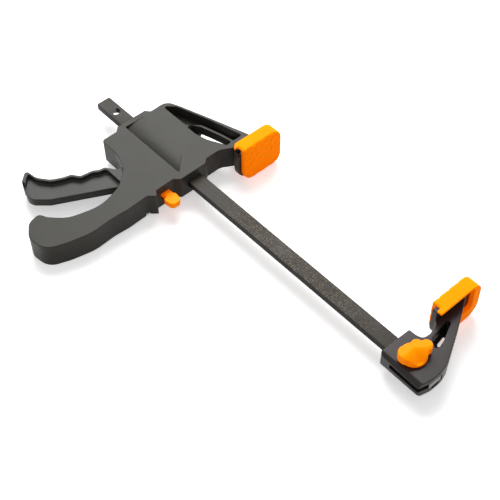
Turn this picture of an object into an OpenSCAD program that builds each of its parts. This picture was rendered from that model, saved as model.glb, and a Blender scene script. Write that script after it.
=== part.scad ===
// Quick release bar clamp, in millimetres.
// A two-shell housing slides along a flat steel bar. Squeezing the trigger swings its nose
// against two drive plates that carry the bar rearwards, the tilted brake plate holds the bar,
// and the orange button on the brake plate lets it go. A quarter-turn knob locks the fixed jaw.
// The origin is the middle of the hole at the bar's rear end, half way through its thickness.
// X runs along the bar towards the fixed jaw, Y towards the jaw tips, Z through the thickness.

/* [Bar] */
// Length of the bar
bar_length = 507; // [420:1:700]
// Width of the bar's wide face
bar_width = 18; // [16:0.5:19]
// Thickness of the bar
bar_thickness = 7.5; // [6:0.5:8]
// Radius of the bar's corners, seen on its wide face
bar_corner = 2; // [0.5:0.5:3]
// Chamfer along the bar's long edges
bar_chamfer = 0.6; // [0.3:0.1:1]
// Diameter of the hole at the rear end
hole_d = 10.5; // [6:0.5:12]
// Distance from the rear end to the middle of the hole
hole_inset = 23.8; // [14:0.2:30]

/* [Housing] */
// Distance from the bar's hole to the housing's rear wall, as the clamp stands
housing_x = 30.1; // [28:0.1:120]
// Thickness of the housing, both shells together
housing_t = 28.5; // [28.5:0.1:32]
// Thickness of the housing's outer walls
housing_wall = 3; // [2:0.1:3.4]
// Depth of the nameplate recess at its deep edge
plate_recess = 3.2; // [1:0.1:4]

/* [Jaws and pads] */
// Length of the clamping faces
face_length = 55.3; // [50:0.1:58]
// Height of the pads, through the clamp's thickness
pad_height = 49; // [44:0.5:54]
// Depth of the pads, from the rim to the clamping face
pad_depth = 17; // [16:0.1:20]
// Corner radius of the pads
pad_corner = 15; // [10:0.5:18]
// Wall of the pads round the flange
pad_wall = 2.5; // [2:0.1:3.5]
// Chamfer round the clamping face
pad_chamfer = 1.5; // [1:0.1:2.5]
// Distance from the pads' rim to the flange inside them
flange_depth = 5.6; // [4:0.1:6.5]
// Thickness of the flanges inside the pads
flange_t = 5.5; // [4:0.1:6]
// How far the pads' rim laps over the far end of the flange
pad_lap = 10.3; // [6:0.1:12]
// Width of the grooves in the clamping faces
groove_w = 1.8; // [1:0.1:2.5]
// Depth of the grooves in the clamping faces
groove_depth = 1.2; // [0.6:0.1:2]
// Distance from groove to groove
groove_pitch = 9; // [7:0.1:12]
// Thickness of the fixed jaw's arm
jaw_t = 20; // [19:0.1:24]

/* [Trigger and plates] */
// Thickness of the trigger, where the fingers hold it
trigger_t = 20; // [14:0.5:21]
// Thickness of the trigger's arm above its pin
trigger_arm_t = 14; // [10:0.5:15]
// Rim round the trigger's recessed panels
trigger_rim = 3; // [2:0.1:4]
// Depth of the trigger's recessed panels
trigger_recess = 5.2; // [2:0.1:6]
// Diameter of the trigger pin
pin_d = 6; // [4:0.1:7]
// Full squeeze of the trigger, in degrees
squeeze = 20; // [12:1:20]
// Thickness of one drive plate
drive_plate_t = 3; // [2:0.1:3]
// Thickness of the brake plate
brake_plate_t = 4; // [3:0.1:4]
// Lean of the brake plate at rest, in degrees
brake_lean = 5; // [3:0.5:6]
// Wire of the drive spring
drive_wire = 1.4; // [1:0.1:1.6]
// Wire of the brake spring
brake_wire = 0.9; // [0.6:0.1:1.1]

/* [Lock knob] */
// Diameter of the knob's base
knob_d = 27; // [24:0.5:30]
// Height of the knob's wing above its base
wing_h = 8.5; // [7:0.5:12]
// Diameter of the lock spindle
spindle_d = 8; // [6:0.1:9]

/* [Fits] */
// Clearance round the bar where it slides
bar_gap = 0.3; // [0.2:0.05:0.4]
// Clearance round the trigger pin, on the radius
pin_gap = 0.05; // [0.02:0.01:0.08]
// Clearance between a moving piece and the walls beside it
side_gap = 0.5; // [0.4:0.05:0.6]
// Clearance round pieces that are seated and stay put
seat_gap = 0.1; // [0.05:0.05:0.2]

/* [Hidden] */

cut = 1;                            // how far cutting shapes reach past a face
reach = 300;                        // longer than the clamp is wide, for shapes that only cut
arc_steps = 6;                      // straight pieces in a rounded corner
half_t = housing_t / 2;
bar_rear = -hole_inset;
bar_front = bar_length - hole_inset;

// Places inside the housing, from its rear wall and from the bar's centre line
pivot = [62, -40];                  // trigger pin
nose = [1.5, 22.5];                 // middle of the trigger's nose, from the pivot
nose_r = 3;
plate_face_x = pivot[0] + nose[0] - nose_r - 0.2;   // front face of the drive plates
plate_top = bar_width / 2 + 4;      // drive plates' upper edge
plate_bottom = -24;                 // drive plates' lower edge
plate_half_z = half_t - 4.8;        // half width of the plates, through the thickness
trigger_step_y = -28;               // where the trigger's thick part ends and its arm begins
trigger_panel_top = -65.5;          // upper end of the trigger's recessed panels
pin_length = housing_t - 3;
bush_r = pin_d / 2 + 1.5;
drive_travel = (norm(nose) + 0.6) * squeeze * PI / 180;
spring_r = norm([bar_width, bar_thickness]) / 2 + 0.5 + drive_wire / 2;
bay_half_z = plate_half_z + 0.35;
brake_seat = [92, bar_width / 2 + 5.5];
brake_length = 54;
brake_spring_y = -16;
brake_pocket_x = 77;
brake_pocket_depth = 12;
bay_front_x = 101;                  // inner side of the housing's front wall
bay_rear_x = brake_seat[0] - 6;     // inner side of the wall behind the brake plate
button_head_x = [109.5, 123.5];     // back and front of the release button's head
button_head_y = [-44.5, -28.5];
button_stem_y = [-40, -30.7];
button_sleeve_x = [92.5, 100.4];    // the sleeve that grips the brake plate's tail
button_sleeve_y = [-43, -29.5];
button_half_z = 3.5;
tail_half_z = button_half_z - 1.6;  // half width of the brake plate's tail
grip_room_x = 40;                   // where the hollow in the grip begins
grip_room_y = -66;                  // upper end of the hollow in the grip
screw_places = [[12, 28], [92, 29], [109, 66], [13.5, -35.5], [100.8, -61], [91, -115], [74, -167]];
screw_r = 1.75;
screw_head_r = 3.3;
screw_head_h = 2.4;
screw_sink = 3.6;                   // depth of the screws' counterbores
screw_reach = 8;                    // how far the screws reach into the top shell

// The pads and flanges, from the bar's centre line
pad_far = 106.3;
pad_near = pad_far - face_length;   // near end at the clamping face
pad_mid = (pad_near + pad_far) / 2;
pad_half_z = pad_height / 2;
flange_near = pad_near - 5;         // the flanges stick out of the pads' open near end
flange_far = pad_far - pad_wall - seat_gap;
flange_half_z = pad_half_z - pad_wall - seat_gap;
arm_end = flange_depth + 1.1;       // how far the arms reach past the rims, into the flanges
moving_rim_x = 114.8;               // rim plane of the moving pad, from the housing's rear wall
moving_tab_cut = 6;                 // slant across the tab of the moving pad

// The fixed jaw, from its end face
jaw_x = bar_front + 0.7;
fixed_rim_x = -37.9;
spindle_x = -29.7;
spindle_r = spindle_d / 2;
washer_h = 0.8;
knob_base_z = jaw_t / 2 + washer_h + 0.1;
knob_base_h = 3.1;
knob_hub_h = 5;                     // height of the hub that the spindle enters, above the base
knob_hub_r = spindle_r + 2.5;
knob_lobes = [for (l = [[-0.09, -0.3, 0.3], [-0.07, 0.2, 0.23], [0.15, 0.44, 0.22]]) l * knob_d];
set_screw_r = 1.1;
set_screw_angle = 140;
set_screw_bite = 0.6;               // how far the set screw reaches into the spindle
keeper_t = 1.5;
keeper_half = 9;
cross_pin_r = 1.2;
keeper_pocket = 4.1;                // depth of the keeper's pocket from the underside
keeper_z = -jaw_t / 2 + keeper_pocket - keeper_t;
cross_pin_z = keeper_z - seat_gap - cross_pin_r;

// Corners [x, y, radius] of the housing, from its rear wall and the bar's centre line
housing_outline = [
    [0, -19.5, 3], [5.4, -25, 3], [5.6, -45.6, 4], [35, -45.6, 40], [57, -55, 30],
    [72.5, -74, 30], [81, -103, 50], [71.5, -139, 40], [56, -153.5, 12], [46.5, -158, 5],
    [50, -172.5, 13], [66, -184, 16], [90, -181, 18], [98.5, -158, 60], [104.6, -132, 60],
    [103, -106, 60], [104.3, -86, 60], [103, -59.5, 3], [110, -52, 1], [103.3, -47.7, 1.5],
    [102.8, -24.3, 1], [108.3, -18.5, 1], [108.4, 16, 1], [103.5, 21.6, 1],
    [103.4, 40, 14], [111.8, 54.3, 1.5], [moving_rim_x + arm_end, 57.2, 0], [moving_rim_x + arm_end, 83.8, 0],
    [60, 65.2, 60],
    [22, 52.9, 60], [4.8, 46, 12], [5.4, 23, 3], [0, 18.8, 3]];

// Pocket and through slot that lighten the jaw, with a rib between them
pocket_outline = [
    [11.5, 38, 2], [49.5, 38, 2], [52, 42, 3], [61, 50.6, 6], [87, 57.9, 10], [102.5, 60.8, 2],
    [102.5, 73, 2], [61, 62.2, 60], [19.5, 49, 8], [11.5, 41, 2]];
slot_outline = [
    [52.3, 36.8, 2], [67, 37, 8], [82, 40.6, 8], [103.4, 51, 2], [102.4, 58, 2],
    [87, 54.8, 10], [62, 48, 8], [52.3, 41.6, 3]];

// Corners of the trigger: tip, finger waves, nose end and straight side facing the handle
trigger_outline = [
    [-18.3, -130.5, 3], [-1.3, -128.3, 14], [11.7, -118.5, 14], [17.7, -106.5, 6], [20.3, -98.1, 5],
    [28.7, -91.9, 5], [30.9, -77.9, 5], [34.9, -72, 5], [35.9, -65.5, 4], [46.5, -58, 6],
    [51.5, -45, 6], [56.5, -30, 4], [60.5, -26, 2], [60.5, -14.5, 2.9], [66.5, -14.5, 2.9],
    [72, -34, 8], [75, -52, 8], [62, -75, 20], [30.7, -134, 14], [15.7, -150.5, 12], [-6.3, -143.5, 8]];

// Corners of the fixed jaw, from its end face and the bar's centre line
jaw_outline = [
    [-54.3, -19.3, 4], [-4.2, -20.6, 3], [-0.2, -6, 30], [-0.2, 9, 30], [-3, 18.5, 6],
    [-25.7, 60.8, 8], [-36.7, 79.5, 20], [fixed_rim_x - arm_end, 90.5, 0], [fixed_rim_x - arm_end, 46.5, 0],
    [-40, 43.5, 10], [-36.4, 31, 8], [-37.8, 22.3, 5], [-44.7, 20.2, 3], [-53.1, 19.9, 1.5]];
jaw_window = [[-36.9, 56.5, 2.5], [-31.5, 54.5, 2.5], [-19.5, 28, 3], [-21.5, 21.5, 2], [-31.5, 27.5, 3]];
jaw_bevel = [-16.3, -20, 4];        // Y of the bevel at the face and at its depth, and that depth
groove_x = -40.7;                   // rear end of the groove along the jaw's near side
groove_z = [-1.3, 4.9];

// ---- helpers -------------------------------------------------------------------------------

function unit(v) = v / norm(v);
function flat(p) = [p[0], p[1]];
function turned(v, a) = [v[0] * cos(a) - v[1] * sin(a), v[0] * sin(a) + v[1] * cos(a)];
function side(a, b) = sign(a[0] * b[1] - a[1] * b[0]);

// The points of one corner c between its neighbours p and n, rounded to c[2]
function corner(p, c, n) =
    let (a = unit(flat(p) - flat(c)), b = unit(flat(n) - flat(c)), half = acos(a * b) / 2)
    c[2] == 0 ? [flat(c)] :
    let (centre = flat(c) + unit(a + b) * c[2] / sin(half),
         start = flat(c) + a * c[2] / tan(half) - centre,
         sweep = side(a, b) * -(180 - 2 * half))
    [for (i = [0 : arc_steps]) centre + turned(start, sweep * i / arc_steps)];

function rounded(c) =
    [for (i = [0 : len(c) - 1]) each corner(c[(i + len(c) - 1) % len(c)], c[i], c[(i + 1) % len(c)])];

module outline(corners) { polygon(rounded(corners)); }

module mid_extrude(h) { translate([0, 0, -h / 2]) linear_extrude(h) children(); }

// Everything with a smaller Y
module below(y) { translate([-reach / 2, y - reach]) square(reach); }

// Extrudes a drawing of Y and Z along X
module along_x(d) { rotate([90, 0, 90]) linear_extrude(d) children(); }

module block(x, y, z) { translate([x[0], y[0], z[0]]) cube([x[1] - x[0], y[1] - y[0], z[1] - z[0]]); }

// A slab along X whose far face has a chamfer all round. Its corners have the radii r, in the
// order near low, far low, far high, near high
module chamfered_slab(y, z, r, d, c) {
    cy = [y[0] + r[0], y[1] - r[1], y[1] - r[2], y[0] + r[3]];
    cz = [z[0] + r[0], z[0] + r[1], z[1] - r[2], z[1] - r[3]];
    my = (y[0] + y[1]) / 2;
    mz = (z[0] + z[1]) / 2;
    for (i = [0 : 3]) translate([0, cy[i], cz[i]]) rotate([0, 90, 0]) {
        cylinder(h = d - c, r = r[i], $fn = 64);
        translate([0, 0, d - c]) cylinder(h = c, r1 = r[i], r2 = r[i] - c, $fn = 64);
    }
    translate([0, cy[1], 0]) rotate([90, 0, 0]) linear_extrude(cy[1] - cy[0])
        polygon([[0, mz], [0, z[0]], [d - c, z[0]], [d, z[0] + c], [d, mz]]);
    translate([0, cy[2], 0]) rotate([90, 0, 0]) linear_extrude(cy[2] - cy[3])
        polygon([[0, mz], [d, mz], [d, z[1] - c], [d - c, z[1]], [0, z[1]]]);
    translate([0, 0, cz[0]]) linear_extrude(cz[3] - cz[0])
        polygon([[0, my], [0, y[0]], [d - c, y[0]], [d, y[0] + c], [d, my]]);
    translate([0, 0, cz[1]]) linear_extrude(cz[2] - cz[1])
        polygon([[0, my], [d, my], [d, y[1] - c], [d - c, y[1]], [0, y[1]]]);
}

// A coil spring along X, from 0 to length, swept as one closed tube
module coil(length, r, wire, turns) {
    sides = 8;
    per_turn = 14;
    rings = turns * per_turn;
    pitch = (length - wire) / turns;
    points = [for (i = [0 : rings]) let (a = i * 360 / per_turn, x = wire / 2 + pitch * i / per_turn)
              for (j = [0 : sides - 1]) let (b = j * 360 / sides, q = r + wire / 2 * cos(b))
              [x + wire / 2 * sin(b), q * cos(a), q * sin(a)]];
    walls = [for (i = [0 : rings - 1], j = [0 : sides - 1]) let (k = (j + 1) % sides)
             [i * sides + k, (i + 1) * sides + k, (i + 1) * sides + j, i * sides + j]];
    ends = [[for (j = [sides - 1 : -1 : 0]) j], [for (j = [0 : sides - 1]) rings * sides + j]];
    polyhedron(points, concat(walls, ends));
}

module in_housing() { translate([housing_x, 0, 0]) children(); }
module in_jaw() { translate([jaw_x, 0, 0]) children(); }
module at_pivot() { translate([pivot[0], pivot[1], 0]) children(); }

// The bar's passage through a piece, with clearance
module bar_passage(x) {
    block(x, [-1, 1] * (bar_width / 2 + bar_gap), [-1, 1] * (bar_thickness / 2 + bar_gap));
}

// ---- pads and flanges, drawn with the rim at x = 0 and the face towards +X ---------------------

// The flange's outline in Y and Z, moved out by gap; the near end reaches near
module flange_outline(near, gap) {
    h = flange_half_z + gap;
    far = flange_far + gap;
    r = pad_corner - pad_wall;
    outline([[near - gap, -h, r + 5.5], [far, -h, r], [far, h, r], [near - gap, h, 1]]);
}

module flange() {
    translate([flange_depth, 0, 0]) along_x(flange_t) flange_outline(flange_near, 0);
}

module grooves() {
    n = ceil(face_length / groove_pitch);
    for (a = [-48, 48], i = [-n : n])
        translate([pad_depth - groove_depth, pad_mid, 0]) rotate([a, 0, 0])
            block([0, groove_depth + cut], [-0.5, 0.5] * groove_w + [1, 1] * (i + 0.5) * groove_pitch,
                  [-2, 2] * pad_height);
}

// A pad whose rim lets an arm of this half thickness through; tab_cut slants the tab at its near end
module pad(arm_half, tab_cut) {
    tab_depth = flange_depth + 0.4;
    color("orange") difference() {
        union() {
            chamfered_slab([pad_near, pad_far], [-pad_half_z, pad_half_z],
                           [pad_corner + 1, pad_corner, pad_corner, 3], pad_depth, pad_chamfer);
            // the tab, where the upper wall runs on along the flange
            translate([0, 0, pad_half_z - pad_wall]) linear_extrude(pad_wall)
                polygon([[0, flange_near + tab_cut], [tab_depth, flange_near],
                         [tab_depth, pad_near + 5], [0, pad_near + 5]]);
        }
        translate([flange_depth, 0, 0]) along_x(flange_t + seat_gap) flange_outline(flange_near, seat_gap);
        // the opening in the rim that the arm passes
        translate([-cut, 0, 0]) along_x(flange_depth + 2 * cut)
            outline([[flange_near - cut, -arm_half - side_gap, 0],
                     [pad_far - pad_lap, -arm_half - side_gap, 4],
                     [pad_far - pad_lap, flange_half_z + seat_gap, 4],
                     [flange_near - cut, flange_half_z + seat_gap, 0]]);
        grooves();
    }
}

// ---- housing -------------------------------------------------------------------------------

// What the trigger sweeps from rest to a full squeeze, with room at its sides
module trigger_sweep() {
    translate(pivot) for (i = [0 : 6]) rotate(squeeze * i / 6) translate(-pivot)
        offset(delta = side_gap * 2) outline(trigger_outline);
}

module mechanism_bays() {
    plates = 2 * drive_plate_t;
    // round the drive spring
    translate([housing_wall, 0, 0]) rotate([0, 90, 0])
        cylinder(h = plate_face_x - housing_wall, r = spring_r + drive_wire / 2 + 0.3, $fn = 96);
    // round the drive plates, ending on the rib that they rest against
    block([plate_face_x - plates - drive_travel - 2, plate_face_x], [plate_bottom - 1, plate_top + side_gap],
          [-1, 1] * bay_half_z);
    // round the brake plate, with the notch that its upper end rocks in
    block([bay_rear_x, bay_front_x], [button_head_y[0] - 2, plate_top - 2.5], [-1, 1] * bay_half_z);
    block([brake_seat[0] - brake_plate_t / 2 - 0.8, brake_seat[0] + brake_plate_t / 2 + 0.8],
          [plate_top - 3, brake_seat[1] + 0.8], [-1, 1] * bay_half_z);
    // the brake spring's pocket and the button's way out
    translate([brake_pocket_x, brake_spring_y, 0]) rotate([0, 90, 0])
        cylinder(h = brake_pocket_depth, r = 4.6, $fn = 48);
    block([bay_front_x - cut, button_head_x[1]], button_stem_y + [-2.2, 0.8],
          [-1, 1] * (button_half_z + side_gap + 0.2));
}

// The hollow inside the grip, clear of the trigger's room and of the screw bosses
module grip_hollow() {
    mid_extrude(housing_t - 2 * housing_wall) difference() {
        intersection() {
            offset(delta = -housing_wall - 0.6) outline(housing_outline);
            translate([grip_room_x, grip_room_y - reach]) square(reach);
        }
        for (p = screw_places) translate(p) circle(screw_r + 2.6, $fn = 48);
        translate(pivot) circle(pin_d / 2 + 5, $fn = 48);
    }
}

// The nameplate recess, flush along a slanting line and deep along the lower edge
module nameplate_recess() {
    flush = [7.5, 11.2];
    fall = atan(6.7 / 73.5);
    depth_angle = asin(plate_recess / 22);
    intersection() {
        translate([0, 0, half_t - 2 * plate_recess]) linear_extrude(4 * plate_recess)
            outline([[6.6, -13.3, 1], [99.2, -13.3, 1], [91.8, -5.8, 3], [81, 4.6, 1],
                     [flush[0], flush[1], 1]]);
        translate([flush[0], flush[1], half_t]) rotate([0, 0, -fall]) rotate([depth_angle, 0, 0])
            block([-20, 120], [-60, 20], [0, 40]);
    }
}

// The room that the trigger needs, wide round the part that is held and narrow round its arm
module trigger_room() {
    top = trigger_step_y + 6;
    mid_extrude(trigger_arm_t + 2 * side_gap) trigger_sweep();
    mid_extrude(trigger_t + 2 * side_gap) intersection() {
        trigger_sweep();
        below(top);
    }
}

// Both shells as one solid, before it is split along the middle plane
module housing_whole() {
    difference() {
        union() {
            mid_extrude(housing_t) outline(housing_outline);
            translate([moving_rim_x, 0, 0]) flange();
        }
        bar_passage([-cut, moving_rim_x + pad_depth]);
        mechanism_bays();
        trigger_room();
        grip_hollow();
        mid_extrude(housing_t + 2) outline(slot_outline);
        for (m = [0, 1]) mirror([0, 0, m]) translate([0, 0, 1.5]) linear_extrude(half_t) outline(pocket_outline);
        at_pivot() cylinder(h = pin_length + 0.4, r = pin_d / 2 + seat_gap / 2, center = true, $fn = 64);
        for (p = screw_places) translate([p[0], p[1], 0]) {
            translate([0, 0, -half_t - cut]) cylinder(h = half_t + cut + screw_reach + 0.5,
                                                       r = screw_r + seat_gap / 2, $fn = 48);
            translate([0, 0, -half_t - cut]) cylinder(h = screw_sink + cut, r = screw_head_r + 0.3, $fn = 48);
        }
    }
}

// Everything above the plane where the two shells meet
module upper_half() { block([-1, 1] * reach, [-1, 1] * reach, [0, pad_height]); }

module housing_top_shell() {
    color("dimgray") in_housing() difference() {
        intersection() {
            housing_whole();
            upper_half();
        }
        nameplate_recess();
    }
}

module housing_bottom_shell() {
    color("dimgray") in_housing() intersection() {
        housing_whole();
        mirror([0, 0, 1]) upper_half();
    }
}

module housing_screws() {
    color("silver") in_housing() for (p = screw_places) translate([p[0], p[1], -half_t + screw_sink]) {
        difference() {
            translate([0, 0, -screw_head_h]) cylinder(h = screw_head_h, r = screw_head_r, $fn = 48);
            translate([0, 0, -screw_head_h - cut]) cylinder(h = 1.4 + cut, r = 1.6, $fn = 6);
        }
        cylinder(h = half_t - screw_sink + screw_reach, r = screw_r, $fn = 48);
    }
}

module moving_pad() { in_housing() translate([moving_rim_x, 0, 0]) pad(half_t, moving_tab_cut); }

// ---- trigger and drive ---------------------------------------------------------------------

module trigger_pin() {
    color("silver") in_housing() at_pivot()
        cylinder(h = pin_length, r = pin_d / 2, center = true, $fn = 64);
}

module trigger_bush() {
    color("goldenrod") in_housing() at_pivot() difference() {
        cylinder(h = trigger_t, r = bush_r, center = true, $fn = 64);
        cylinder(h = trigger_t + cut, r = pin_d / 2 + pin_gap, center = true, $fn = 64);
    }
}

module trigger() {
    color("dimgray") in_housing() difference() {
        union() {
            mid_extrude(trigger_arm_t) outline(trigger_outline);
            mid_extrude(trigger_t) intersection() {
                outline(trigger_outline);
                below(trigger_step_y);
            }
        }
        at_pivot() cylinder(h = trigger_t + cut, r = bush_r + seat_gap / 2, center = true, $fn = 64);
        for (m = [0, 1]) mirror([0, 0, m]) translate([0, 0, trigger_t / 2 - trigger_recess])
            linear_extrude(trigger_recess + cut) intersection() {
                outline(trigger_outline);
                translate([trigger_rim, -trigger_rim * 0.6]) outline(trigger_outline);
                below(trigger_panel_top);
            }
    }
}

// A steel plate with a square hole that the bar passes through, its front face at x
module drive_plate(x) {
    color("silver") in_housing() difference() {
        block([x - drive_plate_t, x], [plate_bottom, plate_top], [-1, 1] * plate_half_z);
        bar_passage([x - drive_plate_t - cut, x + cut]);
    }
}
module drive_plate_front() { drive_plate(plate_face_x); }
module drive_plate_rear() { drive_plate(plate_face_x - drive_plate_t); }

module drive_spring() {
    color("gainsboro") in_housing() translate([housing_wall, 0, 0])
        coil(plate_face_x - 2 * drive_plate_t - housing_wall, spring_r, drive_wire, 9);
}

// ---- brake ---------------------------------------------------------------------------------

// Draws a piece of the brake, which leans about the brake plate's upper end
module leaning() {
    in_housing() translate([brake_seat[0], brake_seat[1], 0]) rotate([0, 0, brake_lean]) children();
}

module brake_plate() {
    rise = brake_seat[1] - bar_width / 2;
    slack = bar_gap + brake_plate_t * tan(brake_lean);
    color("silver") leaning() difference() {
        block([-0.5, 0.5] * brake_plate_t, [-brake_length, 0], [-1, 1] * plate_half_z);
        block([-2, 2] * brake_plate_t, [-rise - bar_width - slack, -rise + slack],
              [-1, 1] * (bar_thickness / 2 + bar_gap));
        for (m = [0, 1]) mirror([0, 0, m])
            block([-2, 2] * brake_plate_t, [-brake_length - cut, button_sleeve_y[1] + 2 - brake_seat[1]],
                  [tail_half_z, plate_half_z + cut]);
    }
}

module brake_spring() {
    plate_x = brake_seat[0] + (brake_seat[1] - brake_spring_y) * tan(brake_lean)
              - brake_plate_t / 2 / cos(brake_lean) - 4 * tan(brake_lean);
    color("gainsboro") in_housing() translate([brake_pocket_x, brake_spring_y, 0])
        coil(plate_x - brake_pocket_x, 3.5, brake_wire, 6);
}

module release_button() {
    color("orange") in_housing() difference() {
        union() {
            block(button_sleeve_x, button_sleeve_y, [-1, 1] * button_half_z);
            block([button_sleeve_x[0] + 4, button_head_x[0] + cut], button_stem_y, [-1, 1] * button_half_z);
            mid_extrude(2 * button_half_z)
                outline([[button_head_x[0], button_head_y[0], 2.5], [button_head_x[1], button_head_y[0] + 1.5, 6],
                         [button_head_x[1], button_head_y[1] - 1.5, 6], [button_head_x[0], button_head_y[1], 2.5]]);
        }
        translate([-housing_x, 0, 0]) leaning()
            block([-0.5, 0.5] * brake_plate_t + [-1, 1] * seat_gap / 2, [-brake_length - 0.1, 0],
                  [-1, 1] * (tail_half_z + seat_gap));
    }
}

// ---- bar, fixed jaw and lock -----------------------------------------------------------------

module bar() {
    h = bar_thickness / 2;
    w = bar_width / 2;
    c = bar_chamfer;
    r = bar_corner;
    color("slategray") difference() {
        intersection() {
            mid_extrude(bar_thickness) union() {
                translate([bar_rear + r, -w]) square([bar_length - 2 * r, bar_width]);
                translate([bar_rear, -w + r]) square([bar_length, bar_width - 2 * r]);
                for (x = [bar_rear + r, bar_front - r], y = [-w + r, w - r]) translate([x, y])
                    circle(r, $fn = 48);
            }
            translate([bar_rear - cut, 0, 0]) along_x(bar_length + 2 * cut)
                polygon([[-w, -h + c], [-w + c, -h], [w - c, -h], [w, -h + c],
                         [w, h - c], [w - c, h], [-w + c, h], [-w, h - c]]);
        }
        cylinder(h = bar_thickness + 2, r = hole_d / 2, center = true, $fn = 96);
        translate([jaw_x + spindle_x, 0, 0])
            cylinder(h = bar_thickness + 2, r = spindle_r + seat_gap, center = true, $fn = 64);
    }
}

module fixed_jaw() {
    color("dimgray") in_jaw() difference() {
        union() {
            mid_extrude(jaw_t) outline(jaw_outline);
            translate([fixed_rim_x, 0, 0]) mirror([1, 0, 0]) flange();
        }
        bar_passage([-reach, cut]);
        mid_extrude(jaw_t + 2) outline(jaw_window);
        // bevels along the near side
        for (m = [0, 1]) mirror([0, 0, m]) translate([-reach, 0, 0]) along_x(reach + cut)
            polygon([[jaw_bevel[0], jaw_t / 2], [2 * jaw_bevel[1] - jaw_bevel[0], jaw_t / 2 - 2 * jaw_bevel[2]],
                     [2 * jaw_bevel[1], jaw_t], [jaw_bevel[0], jaw_t]]);
        // groove along the side, round onto the end face, and the window round the bar's end
        block([groove_x, cut], [-22, -15.5], groove_z);
        block([-4, cut], [-22, -bar_width / 2], groove_z);
        block([-3, cut], [-4.5, 5], [-1, 1] * (bar_thickness / 2 + 2.8));
        translate([spindle_x, 0, 0]) cylinder(h = jaw_t + 2, r = spindle_r + seat_gap, center = true, $fn = 64);
        // the keeper's pocket in the underside
        block([1, 1] * spindle_x + [-1, 1] * (keeper_half + seat_gap), [-1, 1] * (keeper_half + seat_gap),
              [-jaw_t / 2 - cut, -jaw_t / 2 + keeper_pocket]);
    }
}

module fixed_pad() { in_jaw() translate([fixed_rim_x, 0, 0]) mirror([1, 0, 0]) pad(jaw_t / 2, 0); }

module at_spindle() { in_jaw() translate([spindle_x, 0, 0]) children(); }

// The bore for the set screw, from the knob's rim into the spindle
module set_screw_way(r, x) {
    rotate(set_screw_angle) translate([x[0], 0, knob_base_z + knob_base_h / 2]) rotate([0, 90, 0])
        cylinder(h = x[1] - x[0], r = r, $fn = 48);
}

module lock_knob() {
    color("orange") at_spindle() difference() {
        union() {
            translate([0, 0, knob_base_z]) cylinder(h = knob_base_h, r = knob_d / 2, $fn = 96);
            translate([0, 0, knob_base_z]) cylinder(h = knob_base_h + knob_hub_h, r = knob_hub_r, $fn = 96);
            translate([0, 0, knob_base_z + knob_base_h]) linear_extrude(wing_h)
                for (l = knob_lobes) translate(flat(l)) circle(l[2], $fn = 64);
        }
        translate([0, 0, knob_base_z - cut])
            cylinder(h = knob_base_h + knob_hub_h - 1.5 + cut, r = spindle_r + seat_gap / 2, $fn = 64);
        set_screw_way(set_screw_r + seat_gap / 2, [0, knob_d]);
    }
}

module lock_spindle() {
    top = knob_base_z + knob_base_h + knob_hub_h - 1.5 - seat_gap;
    bottom = -jaw_t / 2 + 0.1;
    color("silver") at_spindle() difference() {
        translate([0, 0, bottom]) cylinder(h = top - bottom, r = spindle_r, $fn = 64);
        set_screw_way(set_screw_r + seat_gap / 2, [spindle_r - set_screw_bite - seat_gap, knob_d]);
        translate([0, 0, cross_pin_z]) rotate([90, 0, 0])
            cylinder(h = 4 * spindle_r, r = cross_pin_r + seat_gap / 2, center = true, $fn = 48);
    }
}

// A headless set screw with a hexagonal socket
module knob_screw() {
    x = [spindle_r - set_screw_bite, knob_d / 2 - 1.2];
    color("silver") at_spindle() difference() {
        set_screw_way(set_screw_r, x);
        rotate(set_screw_angle) translate([x[1] - 2, 0, knob_base_z + knob_base_h / 2]) rotate([0, 90, 0])
            cylinder(h = 3, r = 0.65, $fn = 6);
    }
}

module spindle_cross_pin() {
    color("silver") at_spindle() translate([0, 0, cross_pin_z]) rotate([90, 0, 0])
        cylinder(h = 2 * keeper_half - 1.5, r = cross_pin_r, center = true, $fn = 48);
}

// The plate that the cross pin locks under; its slot lets the pin through a quarter turn on
module keeper_plate() {
    color("silver") at_spindle()
        translate([0, 0, keeper_z]) linear_extrude(keeper_t) difference() {
            translate([-keeper_half, -keeper_half]) square(2 * keeper_half);
            circle(spindle_r + seat_gap, $fn = 64);
            translate([-keeper_half + 0.6, -cross_pin_r - 0.3]) square([2 * keeper_half - 1.2, 2 * cross_pin_r + 0.6]);
        }
}

module knob_washer() {
    color("silver") at_spindle() translate([0, 0, jaw_t / 2]) linear_extrude(washer_h) difference() {
        circle(knob_d / 2 - 3.5, $fn = 96);
        circle(spindle_r + seat_gap, $fn = 64);
    }
}

// ---- the tools draw one node at a time -------------------------------------------------------

housing_top_shell();
housing_bottom_shell();
housing_screws();
moving_pad();
trigger_pin();
trigger_bush();
trigger();
drive_plate_front();
drive_plate_rear();
drive_spring();
brake_plate();
brake_spring();
release_button();
bar();
fixed_jaw();
fixed_pad();
lock_knob();
lock_spindle();
knob_screw();
spindle_cross_pin();
keeper_plate();
knob_washer();
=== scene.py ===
"""Quick release bar clamp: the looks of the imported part.

Everything is in metres, in the part's own frame: the origin is the middle of the bar's hanging
hole, +X runs along the bar towards the fixed jaw, +Y is the side of the jaws and +Z is the upper
face. Outlines and names that end in _mm are in millimetres, and so is the knob's wing.
"""
import math

import bmesh
import bpy
from mathutils import Matrix, Vector


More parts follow.
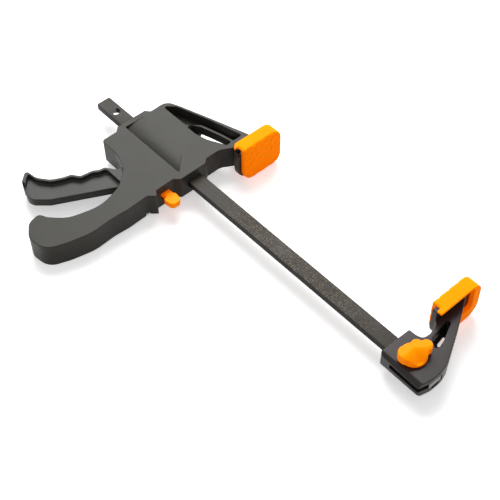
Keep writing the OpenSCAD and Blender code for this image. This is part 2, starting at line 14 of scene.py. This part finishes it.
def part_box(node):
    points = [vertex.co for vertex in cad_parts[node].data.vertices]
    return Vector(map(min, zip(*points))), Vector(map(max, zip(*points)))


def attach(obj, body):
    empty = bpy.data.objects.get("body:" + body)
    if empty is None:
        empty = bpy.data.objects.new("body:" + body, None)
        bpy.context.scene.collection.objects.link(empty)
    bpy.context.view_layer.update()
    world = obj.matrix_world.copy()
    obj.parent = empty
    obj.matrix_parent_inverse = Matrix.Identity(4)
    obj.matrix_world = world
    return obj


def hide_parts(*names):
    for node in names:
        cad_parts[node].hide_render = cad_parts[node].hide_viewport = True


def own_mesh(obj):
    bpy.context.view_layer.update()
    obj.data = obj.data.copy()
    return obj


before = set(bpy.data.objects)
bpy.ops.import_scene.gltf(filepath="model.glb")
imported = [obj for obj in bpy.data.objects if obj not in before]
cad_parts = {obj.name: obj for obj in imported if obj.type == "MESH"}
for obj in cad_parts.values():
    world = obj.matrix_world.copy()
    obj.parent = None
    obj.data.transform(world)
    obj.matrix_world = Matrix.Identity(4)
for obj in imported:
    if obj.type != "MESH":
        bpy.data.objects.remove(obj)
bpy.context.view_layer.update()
MM = 0.001


def linked(name, data):
    """A new object with the given data, in the scene."""
    thing = bpy.data.objects.new(name, data)
    bpy.context.collection.objects.link(thing)
    return thing


# ---------------------------------------------------------------- camera

# The photograph's view: azimuth, elevation, a small roll, and the point that it looks at.
view_azimuth = math.radians(48.73)
view_elevation = math.radians(50.83)
view_roll = math.radians(-0.9)
view_distance = 1.12398
view_target = Vector((0.24212, -0.01366, -0.0142))
view_lens_mm, view_sensor_mm = 78.25, 36.0
view_nearest, view_farthest = 0.05, 50


def make_camera():
    """The photograph's camera: its axes come from azimuth, elevation and roll."""
    a, e, r = view_azimuth, view_elevation, view_roll
    back = Vector((math.sin(a) * math.cos(e), -math.cos(a) * math.cos(e), math.sin(e)))
    level = Vector((math.cos(a), math.sin(a), 0))
    upright = back.cross(level)
    right = math.cos(r) * level + math.sin(r) * upright
    up = math.cos(r) * upright - math.sin(r) * level
    data = bpy.data.cameras.new("camera")
    data.lens = view_lens_mm
    data.sensor_width = view_sensor_mm
    data.clip_start = view_nearest
    data.clip_end = view_farthest
    camera = linked("camera", data)
    axes = Matrix((right, up, back)).transposed().to_4x4()
    camera.matrix_world = Matrix.Translation(view_target + back * view_distance) @ axes
    bpy.context.scene.camera = camera


# ---------------------------------------------------------------- materials


def srgb(r, g, b):
    """A colour given as 0 to 255 on a screen, as linear light."""
    def linear(c):
        c /= 255
        return c / 12.92 if c <= 0.04045 else ((c + 0.055) / 1.055) ** 2.4
    return tuple(linear(c) for c in (r, g, b))


def new_material(name, colour, roughness, metallic=0.0, specular=0.5):
    """A Principled material with its shader's own sockets set."""
    m = bpy.data.materials.new(name)
    m.use_nodes = True
    shader = m.node_tree.nodes["Principled BSDF"]
    shader.inputs["Base Color"].default_value = (*colour, 1)
    shader.inputs["Roughness"].default_value = roughness
    shader.inputs["Metallic"].default_value = metallic
    shader.inputs["Specular IOR Level"].default_value = specular
    return m


class Nodes:
    """Short calls that add shader nodes to a material and join them."""

    def __init__(self, material):
        self.tree = material.node_tree
        self.shader = self.tree.nodes["Principled BSDF"]
        self.place = self.tree.nodes.new("ShaderNodeTexCoord").outputs["Object"]

    def put(self, socket, value):
        """Gives an input a value, or joins it to the output that is the value."""
        if isinstance(value, bpy.types.NodeSocket):
            self.tree.links.new(value, socket)
        else:
            socket.default_value = value

    def add(self, kind, inputs=None, **settings):
        """A new node with its inputs given by name."""
        node = self.tree.nodes.new(kind)
        for key, value in settings.items():
            setattr(node, key, value)
        for key, value in (inputs or {}).items():
            self.put(node.inputs[key], value)
        return node

    def noise(self, size_mm, detail=2.0, roughness=0.5, stretch=None):
        """Noise whose features are about size_mm across, stretched along x, y and z."""
        place = self.place
        if stretch:
            place = self.add("ShaderNodeMapping", {"Vector": place, "Scale": stretch})
            place = place.outputs["Vector"]
        node = self.add("ShaderNodeTexNoise", {"Vector": place, "Scale": 1 / (size_mm * MM),
                                               "Detail": detail, "Roughness": roughness})
        return node.outputs["Fac"]

    def ramp(self, value, low, high, start=0.0, end=1.0):
        """Maps value from low..high to start..end, held at the ends."""
        node = self.add("ShaderNodeMapRange", {"Value": value, "From Min": low, "From Max": high,
                                               "To Min": start, "To Max": end})
        return node.outputs["Result"]

    def mix(self, amount, first, second):
        """A colour between first and second, each a colour or a socket."""
        node = self.add("ShaderNodeMix", data_type="RGBA")
        self.put(node.inputs[0], amount)
        for socket, value in ((node.inputs[6], first), (node.inputs[7], second)):
            self.put(socket, (*value, 1) if isinstance(value, tuple) else value)
        return node.outputs[2]

    def maths(self, operation, *values):
        """A Math node's result."""
        node = self.add("ShaderNodeMath", operation=operation)
        for socket, value in zip(node.inputs, values):
            self.put(socket, value)
        return node.outputs[0]

    def axes(self, vector):
        """A vector's parts, by the names X, Y and Z."""
        return self.add("ShaderNodeSeparateXYZ", {"Vector": vector}).outputs

    def bump(self, height, strength, depth_mm, below=None):
        """A normal for relief of the given depth, on top of another one's."""
        inputs = {"Height": height, "Strength": strength, "Distance": depth_mm * MM}
        if below:
            inputs["Normal"] = below
        return self.add("ShaderNodeBump", inputs).outputs["Normal"]

    def finish(self, **sockets):
        """Joins the results to the shader, with _ for the spaces in its inputs' names."""
        for key, value in sockets.items():
            self.put(self.shader.inputs[key.replace("_", " ")], value)


def shaded(colour, level):
    """The colour made lighter or darker."""
    return tuple(min(1, c * level) for c in colour)


def moulded(name, colour, roughness, specular, grain_mm=0.5, grain=0.3, mottle=0.05):
    """Moulded plastic: a fine eroded grain, faint flow mottling and uneven gloss."""
    m = new_material(name, colour, roughness, specular=specular)
    n = Nodes(m)
    broad = n.noise(18, 3)
    fine = n.noise(grain_mm, 2, 0.6)
    flow = n.mix(n.ramp(broad, 0.3, 0.7), shaded(colour, 1 - mottle), shaded(colour, 1 + mottle))
    speck = n.mix(n.ramp(fine, 0.35, 0.65, 0.0, 0.5), flow, shaded(colour, 1 - 2 * mottle))
    n.finish(Base_Color=speck,
             Roughness=n.ramp(broad, 0.3, 0.7, roughness - 0.02, roughness + 0.02),
             Normal=n.bump(fine, grain, 0.06))
    return m


def rubbery(name, colour, deep, roughness):
    """Soft rubber: matt, with dust in its pores and a slightly deeper tone in places."""
    m = new_material(name, colour, roughness, specular=0.03)
    n = Nodes(m)
    broad = n.noise(14, 2)
    pores = n.noise(0.7, 3, 0.65)
    tone = n.mix(n.ramp(broad, 0.35, 0.75, 0.0, 0.6), colour, deep)
    n.finish(Base_Color=n.mix(n.ramp(pores, 0.55, 0.75, 0.0, 0.25), tone, deep),
             Roughness=n.ramp(pores, 0.3, 0.7, roughness - 0.08, roughness + 0.1),
             Normal=n.bump(pores, 0.3, 0.08))
    return m


# Where along the bar its speckled band comes and goes: each pair runs from none to all of it.
band_rear, band_front = (0.17, 0.23), (0.43, 0.36)


def rolled_steel(name):
    """Dark blued bar stock: rolling lines along x, warm oxide specks, a speckled band where the
    body slides, painted shade that darkens the sides, and cut ends of bare steel."""
    dark, brown, bare = srgb(57, 54, 48), srgb(66, 53, 42), srgb(122, 116, 106)
    rolled, oxide = srgb(74, 71, 66), srgb(36, 28, 22)
    speck_light, speck_dark = srgb(136, 124, 106), srgb(26, 21, 17)
    painted_side_shade, cut_end = srgb(20, 18, 16), srgb(190, 188, 184)
    m = new_material(name, dark, 0.42, 0.0, 0.12)
    n = Nodes(m)
    lines = n.noise(0.5, 3, 0.6, (0.02, 1.0, 1.0))
    cloud = n.noise(26, 4, 0.6)
    specks = n.noise(1.3, 4, 0.7)
    scratches = n.noise(0.35, 2, 0.5, (0.012, 1.0, 1.0))
    pits = n.noise(1.5, 4, 0.8)
    along = n.axes(n.place)["X"]
    facing = n.axes(n.add("ShaderNodeNewGeometry").outputs["Normal"])
    upward, endward = n.maths("ABSOLUTE", facing["Z"]), n.maths("ABSOLUTE", facing["X"])

    base = n.mix(n.ramp(lines, 0.3, 0.7, 0.0, 0.45), dark, rolled)
    base = n.mix(n.ramp(cloud, 0.45, 0.75, 0.0, 0.55), base, brown)
    rusted = n.maths("MULTIPLY", n.ramp(specks, 0.6, 0.72), n.ramp(cloud, 0.35, 0.6, 0.2, 1.0))
    base = n.mix(rusted, base, oxide)
    worn = n.maths("MULTIPLY", n.ramp(scratches, 0.66, 0.74), n.ramp(cloud, 0.3, 0.6, 0.0, 0.7))
    base = n.mix(worn, base, bare)
    band = n.maths("MULTIPLY", n.ramp(along, *band_rear), n.ramp(along, *band_front))
    band = n.maths("MULTIPLY", band, n.ramp(upward, 0.5, 0.9))
    for (low, high), tone in (((0.53, 0.62), speck_light), ((0.45, 0.36), speck_dark)):
        base = n.mix(n.maths("MULTIPLY", n.ramp(pits, low, high, 0.0, 0.8), band), base, tone)
    # Painted shade: faces that do not look up or down are darkened towards near black.
    base = n.mix(n.ramp(upward, 0.7, 0.4), base, painted_side_shade)
    base = n.mix(n.ramp(endward, 0.7, 0.9), base, cut_end)
    n.finish(Base_Color=base, Roughness=n.ramp(cloud, 0.3, 0.7, 0.36, 0.52),
             Normal=n.bump(lines, 0.25, 0.04, n.bump(specks, 0.2, 0.05)))
    return m


def plain_metal(name, colour, roughness, brushed=(1.0, 1.0, 1.0)):
    """Machined or plated metal with fine marks and small changes of tone."""
    m = new_material(name, colour, roughness, metallic=0.95)
    n = Nodes(m)
    marks = n.noise(0.3, 3, 0.6, brushed)
    cloud = n.noise(9, 3)
    tone = n.mix(n.ramp(cloud, 0.3, 0.7), shaded(colour, 0.82), shaded(colour, 1.12))
    n.finish(Base_Color=tone, Roughness=n.ramp(marks, 0.3, 0.7, roughness - 0.1, roughness + 0.12),
             Normal=n.bump(marks, 0.2, 0.02))
    return m


housing_grey = moulded("housing_plastic", srgb(57, 56, 51), 0.42, specular=0.16)
trigger_grey = moulded("trigger_plastic", srgb(56, 55, 53), 0.4, specular=0.2)
jaw_grey = moulded("jaw_plastic", srgb(50, 44, 44), 0.34, specular=0.2)
bar_metal = rolled_steel("bar_steel")
dark_steel = plain_metal("plate_steel", srgb(120, 118, 114), 0.4, brushed=(1.0, 0.05, 1.0))
bright_steel = plain_metal("fastener_steel", srgb(186, 186, 184), 0.32)
spring_steel = plain_metal("spring_steel", srgb(150, 150, 152), 0.3)
bronze = plain_metal("bush_bronze", srgb(176, 134, 74), 0.45)

# The orange pieces get a painted red glow: an emission that lifts their red, most of all where
# they are in shade.
orange_paint, orange_deep = (1.0, 0.42, 0.001), (1.0, 0.35, 0.001)
painted_glow_colour, painted_glow_strength = (1, 0.07, 0, 1), 0.45
rubber = rubbery("pad_rubber", orange_paint, orange_deep, 0.6)
orange = moulded("orange_plastic", orange_paint, 0.4, specular=0.05, grain_mm=0.8, grain=0.12,
                 mottle=0.03)
for painted_glow_material in (rubber, orange):
    painted_glow_shader = painted_glow_material.node_tree.nodes["Principled BSDF"]
    painted_glow_shader.inputs["Emission Color"].default_value = painted_glow_colour
    painted_glow_shader.inputs["Emission Strength"].default_value = painted_glow_strength

# ---------------------------------------------------------------- tools for shapes

weld_distance, split_distance = 0.002 * MM, 0.001 * MM
plane_reach = 0.01 * MM             # how far an edge may be from the plane that it is in
outer_run = 90 * MM                 # a run of edges that is larger goes round a whole piece
level_normal = 0.9                  # a face whose normal's z is more than this looks up or down
fine_mm = 0.4                       # a rounding up to this width has two steps, else three
# Angles between two faces: in one flat face, at a fold that the shading keeps, at an edge that
# is rounded, and at an edge that is shaded sharp.
flat_angle, fold_angle = math.radians(0.2), math.radians(1.5)
edge_angle, shading_angle = math.radians(30), math.radians(40)
dissolve_angle = math.radians(0.4)


def runs(edges):
    """Groups edges into connected runs, in a fixed order."""
    edges = sorted(edges, key=lambda e: e.index)
    waiting = set(edges)
    groups = []
    for first in edges:
        if first not in waiting:
            continue
        waiting.discard(first)
        stack, group = [first], []
        while stack:
            edge = stack.pop()
            group.append(edge)
            for vert in edge.verts:
                for other in vert.link_edges:
                    if other in waiting:
                        waiting.discard(other)
                        stack.append(other)
        groups.append(group)
    return groups


def run_size(group):
    """The diagonal of a run's box."""
    points = [v.co for e in group for v in e.verts]
    low = Vector([min(p[i] for p in points) for i in range(3)])
    high = Vector([max(p[i] for p in points) for i in range(3)])
    return (high - low).length


def folded(edge, angle):
    """Whether an edge's two faces meet at more than the angle."""
    return len(edge.link_faces) == 2 and edge.calc_face_angle(0) > angle


def in_plane(edge, z):
    """Whether an edge lies in the level plane at height z."""
    return all(abs(v.co.z - z) < plane_reach for v in edge.verts)


def copy_of(node, name):
    """A copy of a CAD node's mesh as an object of its own, at the same place."""
    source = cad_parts[node]
    mesh = source.data.copy()
    mesh.transform(source.matrix_world)
    mesh.materials.clear()
    return linked(name, mesh)


def mesh_of(bm, name):
    """A new mesh from a bmesh, which ends with that."""
    mesh = bpy.data.meshes.new(name)
    bm.to_mesh(mesh)
    bm.free()
    return mesh


def shade_smooth(mesh):
    """Shades a whole mesh smooth."""
    for polygon in mesh.polygons:
        polygon.use_smooth = True


def weld(piece):
    """Joins the corners that the CAD's triangles share."""
    piece.modifiers.new("weld", "WELD").merge_threshold = weld_distance


def weigh_normals(piece, weight):
    """Lets large faces keep their flat look beside eased edges."""
    normals = piece.modifiers.new("normals", "WEIGHTED_NORMAL")
    normals.keep_sharp = True
    normals.weight = weight


def apply_modifiers(piece):
    """Makes what the piece's modifiers do its mesh."""
    bpy.context.view_layer.update()
    shown = piece.evaluated_get(bpy.context.evaluated_depsgraph_get())
    mesh = bpy.data.meshes.new_from_object(shown)
    piece.modifiers.clear()
    piece.data = mesh


def opened(piece):
    """The piece's mesh in bmesh, welded, with well-shaped triangles on its flat faces.

    Seams mark the folds between two faces that both look up or down, such as a recess's ramp."""
    bm = bmesh.new()
    bm.from_mesh(piece.data)
    bmesh.ops.remove_doubles(bm, verts=bm.verts, dist=weld_distance)
    inner = [e for e in bm.edges if len(e.link_faces) == 2 and e.calc_face_angle(0) < flat_angle]
    bmesh.ops.beautify_fill(bm, faces=bm.faces[:], edges=inner)
    bm.normal_update()
    for e in bm.edges:
        e.seam = folded(e, fold_angle) and all(
            abs(f.normal.z) > level_normal for f in e.link_faces)
    bm.edges.index_update()
    return bm


def closed(bm, piece):
    """Puts the bmesh back and shades it smooth, apart from its seams and sharp edges."""
    bm.normal_update()
    for e in bm.edges:
        e.smooth = not (e.seam or folded(e, shading_angle))
        e.seam = False
    piece.data = mesh_of(bm, piece.data.name + "_dressed")
    shade_smooth(piece.data)
    weigh_normals(piece, 100)


def extrude_to(bm, faces, z):
    """Extrudes faces down or up to the height z, which makes them a closed solid."""
    grown = bmesh.ops.extrude_face_region(bm, geom=faces, use_keep_orig=True)
    for g in grown["geom"]:
        if isinstance(g, bmesh.types.BMVert):
            g.co.z = z
    bmesh.ops.recalc_face_normals(bm, faces=bm.faces[:])


def shifted(outline, x_mm):
    """An outline that is given from a piece's own start along x, in the part's frame."""
    return [(x_mm + x, y) for x, y in outline]


def prism(bm, outline, low, high):
    """Adds a closed prism with the given outline in mm, between two heights."""
    face = bm.faces.new([bm.verts.new(Vector((x * MM, y * MM, low))) for x, y in outline])
    extrude_to(bm, [face], high)


def carve(piece, outline, low, high):
    """Cuts a prism with the given outline out of the piece, between two heights."""
    bm = bmesh.new()
    prism(bm, outline, low, high)
    cutter = linked("cutter", mesh_of(bm, "cutter"))
    weld(piece)
    cut = piece.modifiers.new("cut", "BOOLEAN")
    cut.operation = "DIFFERENCE"
    cut.solver = "EXACT"
    cut.object = cutter
    apply_modifiers(piece)
    bpy.data.objects.remove(cutter)


def bevel(bm, edges, width_mm):
    """Rounds edges to the given width."""
    edges = [e for e in edges if e.is_valid]
    if edges:
        bmesh.ops.bevel(bm, geom=edges, offset=width_mm * MM, offset_type="OFFSET",
                        segments=3 if width_mm > fine_mm else 2, profile=0.5, affect="EDGES",
                        clamp_overlap=False)


def crisp(node, name, planes, long_mm, short_mm, seam_mm=None, extra=None, cuts=()):
    """A copy whose edges in the given planes are rounded, long runs more than short ones.

    A parting seam at height 0 gets a rounding of its own, cuts are prisms that are taken out
    first, and extra changes the shape before the rounding."""
    piece = copy_of(node, name)
    for outline, low, high in cuts:
        carve(piece, outline, low, high)
    bm = opened(piece)
    edges = [e for e in bm.edges if folded(e, edge_angle)]
    jobs = []
    for z in planes:
        for group in runs([e for e in edges if in_plane(e, z)]):
            jobs.append((group, long_mm if run_size(group) > outer_run else short_mm))
    if seam_mm:
        jobs += [(group, seam_mm) for group in runs([e for e in edges if in_plane(e, 0)])
                 if run_size(group) > outer_run]
    if extra:
        extra(bm)
    for group, width_mm in jobs:
        bevel(bm, group, width_mm)
    bmesh.ops.triangulate(bm, faces=[f for f in bm.faces if len(f.verts) > 4])
    closed(bm, piece)
    return piece


def soft(node, name, voxel_mm, smoothing, keep, extra=None):
    """A copy with every edge softened, for rubber and rounded mouldings."""
    piece = copy_of(node, name)
    if extra:
        bm = bmesh.new()
        bm.from_mesh(piece.data)
        extra(bm)
        bm.to_mesh(piece.data)
        bm.free()
    remesh = piece.modifiers.new("remesh", "REMESH")
    remesh.mode = "VOXEL"
    remesh.voxel_size = voxel_mm * MM
    blur = piece.modifiers.new("blur", "SMOOTH")
    blur.factor = 0.5
    blur.iterations = smoothing
    piece.modifiers.new("fewer", "DECIMATE").ratio = keep
    apply_modifiers(piece)
    shade_smooth(piece.data)
    return piece


def eased(node, width_mm):
    """Eases the sharp edges of a metal node that is shown as the CAD made it."""
    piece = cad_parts[node]
    weld(piece)
    flat = piece.modifiers.new("flat", "DECIMATE")
    flat.decimate_type = "DISSOLVE"
    flat.angle_limit = dissolve_angle
    ease = piece.modifiers.new("ease", "BEVEL")
    ease.width = width_mm * MM
    ease.segments = 2
    ease.limit_method = "ANGLE"
    ease.angle_limit = shading_angle
    ease.use_clamp_overlap = True
    weigh_normals(piece, 50)


def stands_for(piece, node, body, material):
    """Puts the piece in its CAD node's stead."""
    piece.data.materials.clear()
    piece.data.materials.append(material)
    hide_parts(node)
    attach(piece, body)


# ---------------------------------------------------------------- housing

housing_x_mm = 30.1                 # where the housing's and the trigger's outlines start
housing_half = 14.25 * MM
# The nameplate recess: its start along x, its edge's y, its width there, and how fast it narrows.
recess_start_mm = 7.5
recess_edge, recess_width, recess_taper = -13.3 * MM, 24.5 * MM, 0.0912
recess_slopes = math.radians(3), math.radians(14)
# Its curved floor: the depth, the share that falls evenly, and how late the rest falls.
scoop_depth, scoop_even, scoop_power = 4 * MM, 0.1, 2.6
scoop_strips = 16
# The rib beside the jaw's slot is a bridge, open below, so that daylight shows through the slot.
under_rib = ((60, 46), (70, 49), (87, 53.4), (97, 55.6), (97, 62), (87, 66), (70, 60), (60, 56))
rib_cut = (shifted(under_rib, housing_x_mm), -15 * MM, 4 * MM)


def scoop(bm):
    """Curves the nameplate recess's flat ramp, so that it falls away steeply at its deep edge."""
    top = housing_half

    def ramp_faces():
        bm.normal_update()
        least, most = recess_slopes
        return [f for f in bm.faces if least < f.normal.angle(Vector((0, 0, 1)), 0) < most
                and min(v.co.z for v in f.verts) > top - scoop_depth]

    def width(x):
        return recess_width - recess_taper * (x - housing_x_mm * MM - recess_start_mm * MM)

    ramp = ramp_faces()
    for k in range(1, scoop_strips):
        q = k / scoop_strips
        near = Vector(((housing_x_mm + recess_start_mm) * MM, recess_edge + q * recess_width, 0))
        around = list(dict.fromkeys(g for f in ramp for g in (*f.verts, *f.edges, f)))
        bmesh.ops.bisect_plane(bm, geom=around, plane_co=near,
                               plane_no=Vector((recess_taper * q, 1, 0)), dist=split_distance)
        ramp = ramp_faces()
    for v in dict.fromkeys(v for f in ramp for v in f.verts):
        fall = max(0.0, min(1.0, 1 - (v.co.y - recess_edge) / width(v.co.x)))
        v.co.z = top - scoop_depth * (scoop_even * fall + (1 - scoop_even) * fall ** scoop_power)
    inside = set(ramp)
    for f in ramp:
        for e in f.edges:
            if all(g in inside for g in e.link_faces):
                e.seam = False


for node, name, face_z, short_mm, extra in (
        ("housing_top_shell", "housing_top_moulding", housing_half, 0.35, scoop),
        ("housing_bottom_shell", "housing_bottom_moulding", -housing_half, 0.3, None)):
    shell = crisp(node, name, [face_z], long_mm=0.7, short_mm=short_mm, seam_mm=0.2, extra=extra,
                  cuts=[rib_cut])
    stands_for(shell, node, "housing", housing_grey)

# ---------------------------------------------------------------- fixed jaw

jaw_x_mm = 483.9                    # where the fixed jaw's outlines start
jaw_half = 10 * MM
web_outline = ((-38, 57.6), (-31, 55.6), (-18.4, 28.1), (-21.2, 20.3), (-32.6, 27))
web_slit = ((-32.4, 48.5), (-29.9, 48.5), (-26.6, 37), (-27.9, 35), (-30.6, 37.5))
web_low, web_high, slit_beyond = -9.4 * MM, -7.6 * MM, 1 * MM


def add_web(piece):
    """Adds the thin web that closes the jaw's window near the underside, all but a narrow slit."""
    bm = bmesh.new()
    prism(bm, shifted(web_outline, jaw_x_mm), web_low, web_high)
    web = linked("web", mesh_of(bm, "web"))
    carve(web, shifted(web_slit, jaw_x_mm), web_low - slit_beyond, web_high + slit_beyond)
    bm = bmesh.new()
    bm.from_mesh(piece.data)
    first = len(bm.faces)
    bm.from_mesh(web.data)
    bm.faces.ensure_lookup_table()
    for f in bm.faces[first:]:
        f.smooth = False
    bm.to_mesh(piece.data)
    bm.free()
    bpy.data.objects.remove(web)


jaw = crisp("fixed_jaw", "fixed_jaw_casting", [jaw_half, -jaw_half], long_mm=0.9, short_mm=0.4)
add_web(jaw)
stands_for(jaw, "fixed_jaw", "bar", jaw_grey)

# ---------------------------------------------------------------- trigger

# A wider rim round the tip, on both faces of the trigger. It stays inside the CAD's rounded tip.
tip_outline = ((-14.2, -134.6), (-14.9, -133.2), (-14.8, -131.8), (-14, -130.6), (-12.6, -130),
               (-10.8, -130.6), (-9.9, -133.5), (-6, -138), (-2, -141.3), (-4.5, -142.3),
               (-7.6, -141.7), (-9.9, -139.1))
tip_layers_mm = ((5, 10), (-10, -5))


def tip_rim(bm):
    """Closes the trigger's pockets round its tip."""
    for low, high in tip_layers_mm:
        prism(bm, shifted(tip_outline, housing_x_mm), low * MM, high * MM)


lever = soft("trigger", "trigger_moulding", voxel_mm=0.5, smoothing=4, keep=0.3, extra=tip_rim)
stands_for(lever, "trigger", "trigger", trigger_grey)

# ---------------------------------------------------------------- pads

pad_rounding = 3.5 * MM


def rounded(u, v, radius):
    """Where two distances inward from a sharp edge go when that edge is rounded."""
    if u >= radius or v >= radius:
        return u, v
    a, b = 1 - max(0.0, u) / radius, 1 - max(0.0, v) / radius
    return (radius * (1 - a * math.sqrt(1 - b * b / 2)),
            radius * (1 - b * math.sqrt(1 - a * a / 2)))


def round_face(piece, node, facing, radius):
    """Rounds the border of a pad's clamping face, which looks along +X or -X."""
    low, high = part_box(node)
    for v in piece.data.vertices:
        depth = high[0] - v.co.x if facing > 0 else v.co.x - low[0]
        for axis in (1, 2):
            if v.co[axis] - low[axis] < radius:
                inner, depth = rounded(v.co[axis] - low[axis], depth, radius)
                v.co[axis] = low[axis] + inner
            elif high[axis] - v.co[axis] < radius:
                inner, depth = rounded(high[axis] - v.co[axis], depth, radius)
                v.co[axis] = high[axis] - inner
        v.co.x = high[0] - depth if facing > 0 else low[0] + depth


for node, body, facing in (("moving_pad", "housing", 1), ("fixed_pad", "bar", -1)):
    pad = soft(node, node + "_rubber", voxel_mm=0.45, smoothing=18, keep=0.4)
    round_face(pad, node, facing, pad_rounding)
    stands_for(pad, node, body, rubber)

# ---------------------------------------------------------------- knob and button

knob_base_height, knob_cut_below, wing_root = 3.1 * MM, 0.05 * MM, 1 * MM
# The wing seen from above, in mm from the spindle: circles (x, y, radius) for its lobes, and the
# part of a disc that is in front of a line beside the crest.
wing_lobes = ((-2.4, -8.1, 8.1), (-1.9, 5.4, 6.2), (4.05, 11.9, 5.95))
apron_radius, apron_start = 13.2, -4
# The crest runs through a point in a direction. The wing falls from it over a length in mm.
crest_x, crest_y, crest_run_x, crest_run_y = -2.4, -8.1, 0.307, 0.952
wing_crest, wing_slope, wing_round = 2.0, 13.0, 1.5
# Away from the middle the top is broader by up to wing_ear.
wing_ear, ear_reach = 4.0, 7
# The wing is built from square cells of this size, so many to each side along x and y.
wing_cell, wing_cells_x, wing_cells_y = 0.5, 40, 50


def knob_wing(bm):
    """Builds the knob anew on the lower part of its disc: a lobed wing whose front falls in a
    hollow slope."""
    low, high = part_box("lock_spindle")
    centre = Vector(((low[0] + high[0]) / 2, (low[1] + high[1]) / 2, 0))
    knob_low, knob_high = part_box("lock_knob")
    base_top = knob_low[2] + knob_base_height
    cut = bmesh.ops.bisect_plane(bm, geom=[*bm.verts, *bm.edges, *bm.faces],
                                 plane_co=(0, 0, base_top - knob_cut_below),
                                 plane_no=(0, 0, 1), clear_outer=True)
    rim = [g for g in cut["geom_cut"] if isinstance(g, bmesh.types.BMEdge)]
    bmesh.ops.triangle_fill(bm, edges=rim, use_beauty=True)

    def crest_distance(x, y):
        """How far a point is in front of the wing's crest."""
        return (x - crest_x) * crest_run_y - (y - crest_y) * crest_run_x

    def height(x, y):
        along = crest_run_x * x + crest_run_y * y
        ear = wing_ear * (1 - math.exp(-(along / ear_reach) ** 2))
        t = max(0.0, min(1.0, (crest_distance(x, y) + wing_crest - ear) / wing_slope))
        return (1 - t ** wing_round) * (knob_high[2] - base_top)

    def inside(x, y):
        lobed = any(math.hypot(x - cx, y - cy) < r for cx, cy, r in wing_lobes)
        return lobed or (math.hypot(x, y) < apron_radius and crest_distance(x, y) > apron_start)

    corner = {}

    def vert(i, j):
        if (i, j) not in corner:
            x, y = i * wing_cell, j * wing_cell
            place = Vector((x * MM, y * MM, base_top + height(x, y)))
            corner[i, j] = bm.verts.new(centre + place)
        return corner[i, j]

    roof = []
    for i in range(-wing_cells_x, wing_cells_x):
        for j in range(-wing_cells_y, wing_cells_y):
            if inside((i + 0.5) * wing_cell, (j + 0.5) * wing_cell):
                corners = ((i, j), (i + 1, j), (i + 1, j + 1), (i, j + 1))
                roof.append(bm.faces.new([vert(*place) for place in corners]))
    extrude_to(bm, roof, base_top - wing_root)


knob = soft("lock_knob", "lock_knob_moulding", voxel_mm=0.35, smoothing=20, keep=0.5,
            extra=knob_wing)
stands_for(knob, "lock_knob", "lock", orange)
button = soft("release_button", "release_button_moulding", voxel_mm=0.35, smoothing=36, keep=0.5)
stands_for(button, "release_button", "brake", orange)

# ---------------------------------------------------------------- springs and metal pieces


def shortening_spring(node):
    """A smooth-shaded copy of a spring, with a mesh of its own, that stands in its CAD node's
    stead.
    """
    coil = copy_of(node, node + "_coil")
    shade_smooth(coil.data)
    stands_for(coil, node, "housing", spring_steel)
    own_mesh(coil)


shortening_spring("drive_spring")
shortening_spring("brake_spring")

plates = ("drive_plate_front", "drive_plate_rear", "brake_plate", "keeper_plate")
fasteners = ("housing_screws", "trigger_pin", "lock_spindle", "knob_screw", "spindle_cross_pin")
for material, nodes in ((bar_metal, ("bar",)), (dark_steel, plates), (bright_steel, fasteners),
                        (spring_steel, ("knob_washer",)), (bronze, ("trigger_bush",))):
    for node in nodes:
        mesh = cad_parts[node].data
        mesh.materials.clear()
        mesh.materials.append(material)
for node in ("bar", *plates):
    eased(node, width_mm=0.2)

# ---------------------------------------------------------------- floor and light

# The floor goes through the lower edge of the pads and the end of the grip.
pads_y, grip_end_y = 0.0787, -0.170
floor_middle_x, floor_size = 0.25, 6
# How light it is where it lights the object, and where the camera sees it, with some glow there.
floor_lit, floor_seen, floor_glow = (0.5, 0.5, 0.5), (0.98, 0.98, 0.98), 0.5
# The world's strength as a light. Where it is seen, it is white.
sky_strength = 0.35


def seen_ray(tree):
    """1 for rays of the camera and of reflections, 0 for the light that falls on things."""
    path = tree.nodes.new("ShaderNodeLightPath")
    seen = tree.nodes.new("ShaderNodeMath")
    seen.operation = "MAXIMUM"
    for k, ray in enumerate(("Is Camera Ray", "Is Glossy Ray")):
        tree.links.new(path.outputs[ray], seen.inputs[k])
    return seen.outputs[0]


def make_floor():
    """A pale floor: the plane that the two pads and the end of the grip stand on."""
    pad_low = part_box("moving_pad")[0][2]
    slope = math.atan2(-housing_half - pad_low, pads_y - grip_end_y)
    place = (floor_middle_x, pads_y, pad_low)
    bpy.ops.mesh.primitive_plane_add(size=floor_size, location=place)
    floor = bpy.context.object
    floor.name = "floor"
    floor.rotation_euler = (-slope, 0, 0)
    m = new_material("floor_white", floor_lit, 0.9)
    floor.data.materials.append(m)
    n = Nodes(m)
    seen = seen_ray(n.tree)
    n.shader.inputs["Emission Color"].default_value = (1, 1, 1, 1)
    n.finish(Base_Color=n.mix(seen, floor_lit, floor_seen),
             Emission_Strength=n.maths("MULTIPLY", seen, floor_glow))


def area_light(name, place, target, size, power):
    """A square lamp that looks at the target."""
    data = bpy.data.lights.new(name, "AREA")
    data.size = size
    data.energy = power
    lamp = linked(name, data)
    lamp.location = place
    aim = Vector(target) - Vector(place)
    lamp.rotation_euler = aim.to_track_quat("-Z", "Y").to_euler()


def make_world():
    """A white world that is dimmer as a light."""
    world = bpy.data.worlds.new("studio")
    world.use_nodes = True
    tree = world.node_tree
    sky = tree.nodes["Background"]
    sky.inputs["Color"].default_value = (1, 1, 1, 1)
    level = tree.nodes.new("ShaderNodeMapRange")
    tree.links.new(seen_ray(tree), level.inputs["Value"])
    level.inputs["To Min"].default_value = sky_strength
    level.inputs["To Max"].default_value = 1.0
    tree.links.new(level.outputs["Result"], sky.inputs["Strength"])
    bpy.context.scene.world = world


make_camera()
make_floor()
area_light("key_light", place=(-1.05, 1.0, 1.85), target=(0.25, 0, 0), size=1.7, power=68)
make_world()
bpy.context.scene.view_settings.view_transform = "Standard"
